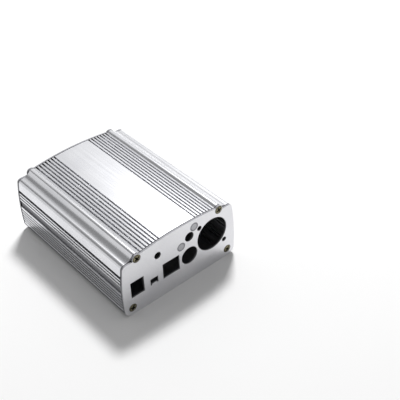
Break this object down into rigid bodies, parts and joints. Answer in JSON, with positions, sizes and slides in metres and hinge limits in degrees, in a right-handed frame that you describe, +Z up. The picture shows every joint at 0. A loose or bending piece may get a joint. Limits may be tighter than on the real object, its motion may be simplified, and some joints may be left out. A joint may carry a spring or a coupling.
{
  "type": "extruded aluminium enclosure",
  "caption": "Instrument enclosure of two interlocking finned aluminium extrusions closed by screwed end plates, the front one cut out for sockets and controls.",
  "frame": {"origin": "middle of the underside", "axes": "+X to the right seen from the front, +Y to the rear along the extrusions, +Z up"},
  "size_m": [0.0914, 0.1178, 0.0472],
  "materials": {
    "extrusion": "fine bead-blasted, clear anodised",
    "end_plate": "fine bead-blasted, clear anodised",
    "screw": "dark bronze-coloured plating",
    "standoff": "dull grey zinc plating"
  },
  "bodies": {
    "root": {"top_cover": "extrusion", "bottom_tray": "extrusion", "front_plate": "end_plate", "rear_plate": "end_plate", "front_screws": "screw", "rear_screws": "screw", "clinch_standoffs": "standoff"}
  },
  "joints": []
}
